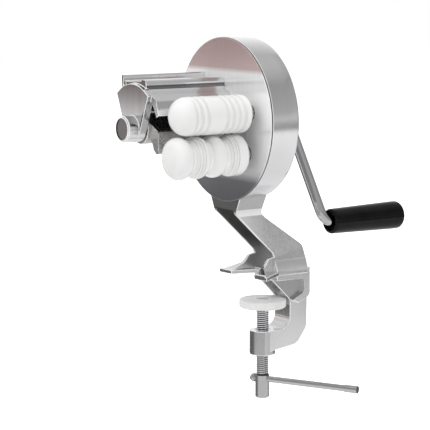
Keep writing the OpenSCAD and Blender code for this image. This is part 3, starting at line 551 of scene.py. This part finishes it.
def bushes():
    """The rollers' front bushes, flush in the face."""
    low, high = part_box("roller_front_bushes")
    start, bore, rim = mm(0.5), mm(3.65), mm(5.2)
    parts = []
    for roller in ("upper_roller", "lower_roller"):
        centre = roller_place(roller)[2] + Vector((0, low.y, 0))
        length = high.y - low.y
        profile = [(start, bore), (start, rim), (length, rim), (length, bore), (start, bore)]
        parts.append(lathe("bush", profile, centre, sides=64))
    mesh = parts[0].data
    bm = bmesh.new()
    for part in parts:
        bm.from_mesh(part.data)
    bm.to_mesh(mesh)
    bm.free()
    bpy.data.objects.remove(parts[1])
    parts[0].name = "roller_bush_rings"
    smooth(mesh, 30)
    return placed(parts[0], "roller_front_bushes", "steel")


# ---------------------------------------------------------------- handle and crank

def handle():
    """The tapered grip with its hollow mouth, and the rounded cap behind it."""
    low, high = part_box("handle_grip")
    cap_low, cap_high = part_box("handle_cap")
    centre = Vector(((low.x + high.x) / 2, 0, (low.z + high.z) / 2))
    r2 = (high.x - low.x) / 2
    r1, mouth, mouth_len, bore, seam, seam_cut = mm(9.2), mm(7.2), mm(4), mm(4.15), mm(5.5), mm(0.12)
    floor_r, lip_r, front_r = mm(0.5), mm(0.35), mm(1.6)
    length = high.y - low.y
    front = [(mouth_len, bore), (mouth_len, mouth - floor_r)]
    front += arc(mouth_len - floor_r, mouth - floor_r, floor_r, 0, 90, 4)
    front += arc(lip_r, mouth + lip_r, lip_r, 270, 180, 5)
    front += arc(front_r, r1 - front_r, front_r, 180, 95, 10)
    body = [(length * t, r1 + (r2 - r1) * t) for t in (0.1, 0.3, 0.5, 0.7, 0.9)]
    tail = [(length - seam_cut, r2), (length, r2 - seam_cut), (length, seam)]
    grip = lathe("handle_body", front + body + tail, centre + Vector((0, low.y, 0)), hard=40)
    placed(grip, "handle_grip")
    size = cap_high.y - high.y
    round_r = mm(3.2)
    start = [(0, seam), (0, r2 - seam_cut), (seam_cut, r2)]
    end = arc(size - round_r, r2 - round_r, round_r, 90, 0, 14)
    cap = lathe("handle_end", start + end + [(size, 0)], centre + Vector((0, high.y, 0)), hard=40)
    placed(cap, "handle_cap")


# ---------------------------------------------------------------- clamp

def threaded_screw():
    """The screw's thread as a helical ridge, joined to the node's own head with its cross hole."""
    low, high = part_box("clamp_screw")
    head_len, pitch, root, crest = mm(16.8), mm(1.55), mm(4.0), mm(4.87)
    # dark_below and dark_collar mark where the thread gets painted shade.
    dark_below, dark_collar = mm(4.3), mm(1.3)
    run_in, run_out = mm(1.5), mm(0.8)
    bottom, top, sides = low.z + head_len, high.z, 40
    bm = welded("clamp_screw")
    everything = list(bm.verts) + list(bm.edges) + list(bm.faces)
    cut = bmesh.ops.bisect_plane(bm, geom=everything, plane_co=(0, 0, bottom + mm(0.3)),
                                 plane_no=(0, 0, 1), clear_outer=True)
    rim = [e for e in cut["geom_cut"] if isinstance(e, bmesh.types.BMEdge)]
    bmesh.ops.holes_fill(bm, edges=rim, sides=0)
    bmesh.ops.dissolve_limit(bm, angle_limit=FLAT_ANGLE, verts=bm.verts, edges=bm.edges)
    steps = int((top - bottom) / pitch * 8)
    before = None
    for k in range(steps + 1):
        z = bottom + (top - bottom) * k / steps
        ring = []
        for i in range(sides):
            a = math.tau * i / sides
            turn = ((z - bottom) / pitch - a / math.tau) % 1
            ridge = 1 - min(1, abs(turn - 0.5) / 0.42)
            ends = min(1, (z - bottom) / run_in, (top - z) / run_out)
            r = root + (crest - root) * min(1, ridge * 1.35) * max(0, ends)
            ring.append(bm.verts.new((r * math.cos(a), r * math.sin(a), z)))
        if before:
            for i in range(sides):
                j = (i + 1) % sides
                bm.faces.new([before[i], before[j], ring[j], ring[i]])
        else:
            bm.faces.new(list(reversed(ring)))
        before = ring
    bm.faces.new(before)
    bmesh.ops.recalc_face_normals(bm, faces=bm.faces)
    mesh = bpy.data.meshes.new("clamp_screw_thread")
    bm.to_mesh(mesh)
    bm.free()
    smooth(mesh, 32)
    obj = bpy.data.objects.new("clamp_screw_thread", mesh)
    scene.collection.objects.link(obj)
    placed(obj, "clamp_screw", "steel")
    mesh.materials.append(MATERIALS["thread"])
    mesh.materials.append(MATERIALS["painted_shade_recess"])
    # Thread faces get the bright thread metal; the roots, the top end and a collar just over the head get
    # painted shade.
    for f in mesh.polygons:
        if f.center.z > bottom + mm(0.1):
            dark = f.center.xy.length < dark_below or f.center.z < bottom + dark_collar
            f.material_index = 2 if dark else 1
    return obj


def pad():
    """A disc with rounded edges and a stepped hole for its screw."""
    low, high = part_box("clamp_pad")
    r, t = (high.x - low.x) / 2, high.z - low.z
    low_edge, high_edge, hole, sink, sink_depth = mm(1.8), mm(1.1), mm(3.05), mm(4.6), mm(2.2)
    profile = [(0, hole), (0, r - low_edge)]
    profile += arc(low_edge, r - low_edge, low_edge, 180, 90, 8)
    profile += arc(t - high_edge, r - high_edge, high_edge, 90, 0, 6)
    profile += [(t, sink), (t - sink_depth, sink), (t - sink_depth, hole)]
    obj = lathe("clamp_pad_disc", profile, (0, 0, low.z), (0, 0, 1), 128)
    return placed(obj, "clamp_pad")


upper_roller()
lower_roller()
handle()
threaded_screw()
pad()

dress("body_casting", "machine_casting", 0.55, bright=True, pick=casting_finish)
dress("face_plate", "round_face", 0.35, pick=face_finish)
dress("cutter_hood", "hood_and_arm", 0.45, bright=True, pick=hood_finish, convex=False)
dress("cutter_rotor", "cutter_rotor_blades", 0.4, bright=True, material="blade_metal")
dress("crank_hub", "crank_socket", 0.5)
dress("crank_rod", "crank_bent_rod", 0)
dress("plate_screws", "rear_screws", 0.2)
dress("hood_screws", "hood_fixing_screws", 0.2)
dress("arm_bush", "arm_bearing_ring", 0.2)
dress("arm_cap", "arm_bearing_cap", 0.2, material="dark_cap")
dress("rear_bush", "crank_bearing_ring", 0.2)
bushes()
dress("tommy_knobs", "bar_ends", 0)

for n, node in nodes.items():
    if not node.hide_render:
        node.data.materials.clear()
        node.data.materials.append(MATERIALS[SLOT_OF[n]])

# ---------------------------------------------------------------- floor, light and camera

WHITE = (1, 1, 1, 1)


def floor():
    """A pale floor that shows white to the camera, keeps the shadow and lets reflections through."""
    z = cad_low.z - mm(0.5)
    half = 4.0
    mesh = bpy.data.meshes.new("studio_floor")
    corners = [(-half, -half, z), (half, -half, z), (half, half, z), (-half, half, z)]
    mesh.from_pydata(corners, [], [(0, 1, 2, 3)])
    obj = bpy.data.objects.new("studio_floor", mesh)
    scene.collection.objects.link(obj)
    m = bpy.data.materials.new("pale_floor")
    m.use_nodes = True
    t = m.node_tree
    t.nodes.clear()
    out = t.nodes.new("ShaderNodeOutputMaterial")
    diffuse = t.nodes.new("ShaderNodeBsdfDiffuse")
    diffuse.inputs[0].default_value = (0.9, 0.9, 0.9, 1)
    glow = t.nodes.new("ShaderNodeEmission")
    glow.inputs[0].default_value = WHITE
    glow.inputs[1].default_value = 0.8
    path = t.nodes.new("ShaderNodeLightPath")
    both = t.nodes.new("ShaderNodeAddShader")
    t.links.new(diffuse.outputs[0], both.inputs[0])
    t.links.new(glow.outputs[0], both.inputs[1])
    clear = t.nodes.new("ShaderNodeBsdfTransparent")
    seen = mix_shader(t, path.outputs["Is Camera Ray"], diffuse, both)
    through = mix_shader(t, path.outputs["Is Glossy Ray"], seen, clear)
    t.links.new(through.outputs[0], out.inputs[0])
    mesh.materials.append(m)


def mix_shader(t, factor, a, b):
    n = t.nodes.new("ShaderNodeMixShader")
    t.links.new(factor, n.inputs[0])
    t.links.new(a.outputs[0], n.inputs[1])
    t.links.new(b.outputs[0], n.inputs[2])
    return n


def math_node(t, kind, *values):
    n = t.nodes.new("ShaderNodeMath")
    n.operation = kind
    for i, v in enumerate(values):
        if isinstance(v, (int, float)):
            n.inputs[i].default_value = v
        else:
            t.links.new(v, n.inputs[i])
    return n.outputs[0]


def towards(t, direction, axis, start, end):
    """0 to 1 as the direction turns towards axis; start and end are degrees away from it."""
    dot = t.nodes.new("ShaderNodeVectorMath")
    dot.operation = "DOT_PRODUCT"
    t.links.new(direction, dot.inputs[0])
    dot.inputs[1].default_value = Vector(axis).normalized()
    r = t.nodes.new("ShaderNodeMapRange")
    r.interpolation_type = "SMOOTHSTEP"
    r.inputs["From Min"].default_value = math.cos(math.radians(start))
    r.inputs["From Max"].default_value = math.cos(math.radians(end))
    t.links.new(dot.outputs["Value"], r.inputs["Value"])
    return r.outputs[0]


def mix(t, factor, a, b):
    """A mix of two colours, each a constant or a socket."""
    n = t.nodes.new("ShaderNodeMix")
    n.data_type = "RGBA"
    t.links.new(factor, n.inputs["Factor"])
    for sock, v in ((n.inputs[6], a), (n.inputs[7], b)):
        if isinstance(v, tuple):
            sock.default_value = (*v, 1)
        else:
            t.links.new(v, sock)
    return n.outputs[2]


def background(t, strength=1.0):
    n = t.nodes.new("ShaderNodeBackground")
    n.inputs[0].default_value = WHITE
    n.inputs[1].default_value = strength
    return n


def world():
    """White behind the object, and in reflections a studio with a pale horizon and some dark fields."""
    w = bpy.data.worlds.new("studio")
    scene.world = w
    w.use_nodes = True
    t = w.node_tree
    t.nodes.clear()
    out = t.nodes.new("ShaderNodeOutputWorld")
    seen, light, mirror = background(t), background(t, 0.46), background(t)
    way = t.nodes.new("ShaderNodeTexCoord").outputs["Generated"]
    split = t.nodes.new("ShaderNodeSeparateXYZ")
    t.links.new(way, split.inputs[0])
    height = math_node(t, "MULTIPLY_ADD", split.outputs["Z"], 0.5, 0.5)
    studio = ramp(t, height, [
        (0.0, 0.80), (0.20, 0.88), (0.36, 1.0), (0.392, 1.0), (0.408, 0.36), (0.432, 0.32),
        (0.465, 0.42), (0.492, 0.62), (0.525, 0.60), (0.56, 0.46), (0.80, 0.36), (0.91, 0.62), (1.0, 0.55)])
    pale = ramp(t, height, [
        (0.0, 0.85), (0.40, 0.80), (0.48, 0.98), (0.60, 1.0), (0.72, 0.85), (0.85, 0.62), (1.0, 0.55)])
    front = ramp(t, height, [
        (0.0, 0.40), (0.36, 0.30), (0.405, 0.10), (0.4405, 0.07), (0.4455, 0.55), (0.452, 0.78),
        (0.462, 0.98), (0.4695, 0.92), (0.4735, (0.33, 0.20, 0.19)), (0.50, (0.36, 0.26, 0.25)),
        (0.56, 0.8), (0.7, 0.6)])
    colour = mix(t, towards(t, way, (-1, 0.25, 0.2), 60, 50), studio, pale)
    colour = mix(t, towards(t, way, (0.75, -0.66, 0), 48, 24), colour, (0.78, 0.78, 0.78))
    colour = mix(t, towards(t, way, (0.06, 1, -0.1), 21, 9), colour, (0.10, 0.10, 0.10))
    colour = mix(t, towards(t, way, (-0.83, -0.555, -0.1), 42, 26), colour, front)
    t.links.new(colour, mirror.inputs[0])
    path = t.nodes.new("ShaderNodeLightPath")
    lit = mix_shader(t, path.outputs["Is Glossy Ray"], light, mirror)
    straight = math_node(t, "MAXIMUM", path.outputs["Is Camera Ray"], path.outputs["Is Transmission Ray"])
    t.links.new(mix_shader(t, straight, lit, seen).outputs[0], out.inputs[0])


def area(name, at, target, size, power):
    """A lamp that lights the object without showing in its reflections."""
    lamp = bpy.data.lights.new(name, "AREA")
    lamp.shape = "RECTANGLE"
    lamp.size, lamp.size_y = size
    lamp.energy = power
    obj = bpy.data.objects.new(name, lamp)
    scene.collection.objects.link(obj)
    obj.location = at
    obj.visible_glossy = False
    obj.rotation_euler = (Vector(target) - Vector(at)).to_track_quat("-Z", "Y").to_euler()


def lamps():
    middle = (0, 0, 0.07)
    area("key", (-0.3, -1.3, 1.3), middle, (1.3, 1.0), 14)
    area("side", (1.5, 0.2, 0.9), middle, (1.2, 1.2), 8)
    area("top", (0.1, -0.2, 1.7), middle, (1.2, 1.2), 7)
    area("back", (-0.7, 1.2, 1.0), middle, (1.4, 1.0), 5)


def camera():
    """The camera fitted to the photograph: the face's middle falls on its place in the picture."""
    az, el = math.radians(55.84), math.radians(8.18)
    distance, focal, width, sensor = 1.2623, 1745.9, 430, 36
    head, head_across, head_down = Vector((0, -0.0358, 0.1168)), 223.12, 119.57
    back = Vector((math.sin(az) * math.cos(el), -math.cos(az) * math.cos(el), math.sin(el)))
    right = Vector((math.cos(az), math.sin(az), 0))
    up = back.cross(right)
    ox = (head_across - width / 2) * distance / focal
    oz = -(head_down - width / 2) * distance / focal
    data = bpy.data.cameras.new("photo_camera")
    data.sensor_width = sensor
    data.lens = sensor * focal / width
    data.clip_start, data.clip_end = 0.05, 20
    obj = bpy.data.objects.new("photo_camera", data)
    scene.collection.objects.link(obj)
    m = Matrix((right, up, back)).transposed().to_4x4()
    m.translation = head + back * distance - right * ox - up * oz
    obj.matrix_world = m
    scene.camera = obj


floor()
world()
lamps()
camera()
scene.view_settings.view_transform = "Standard"
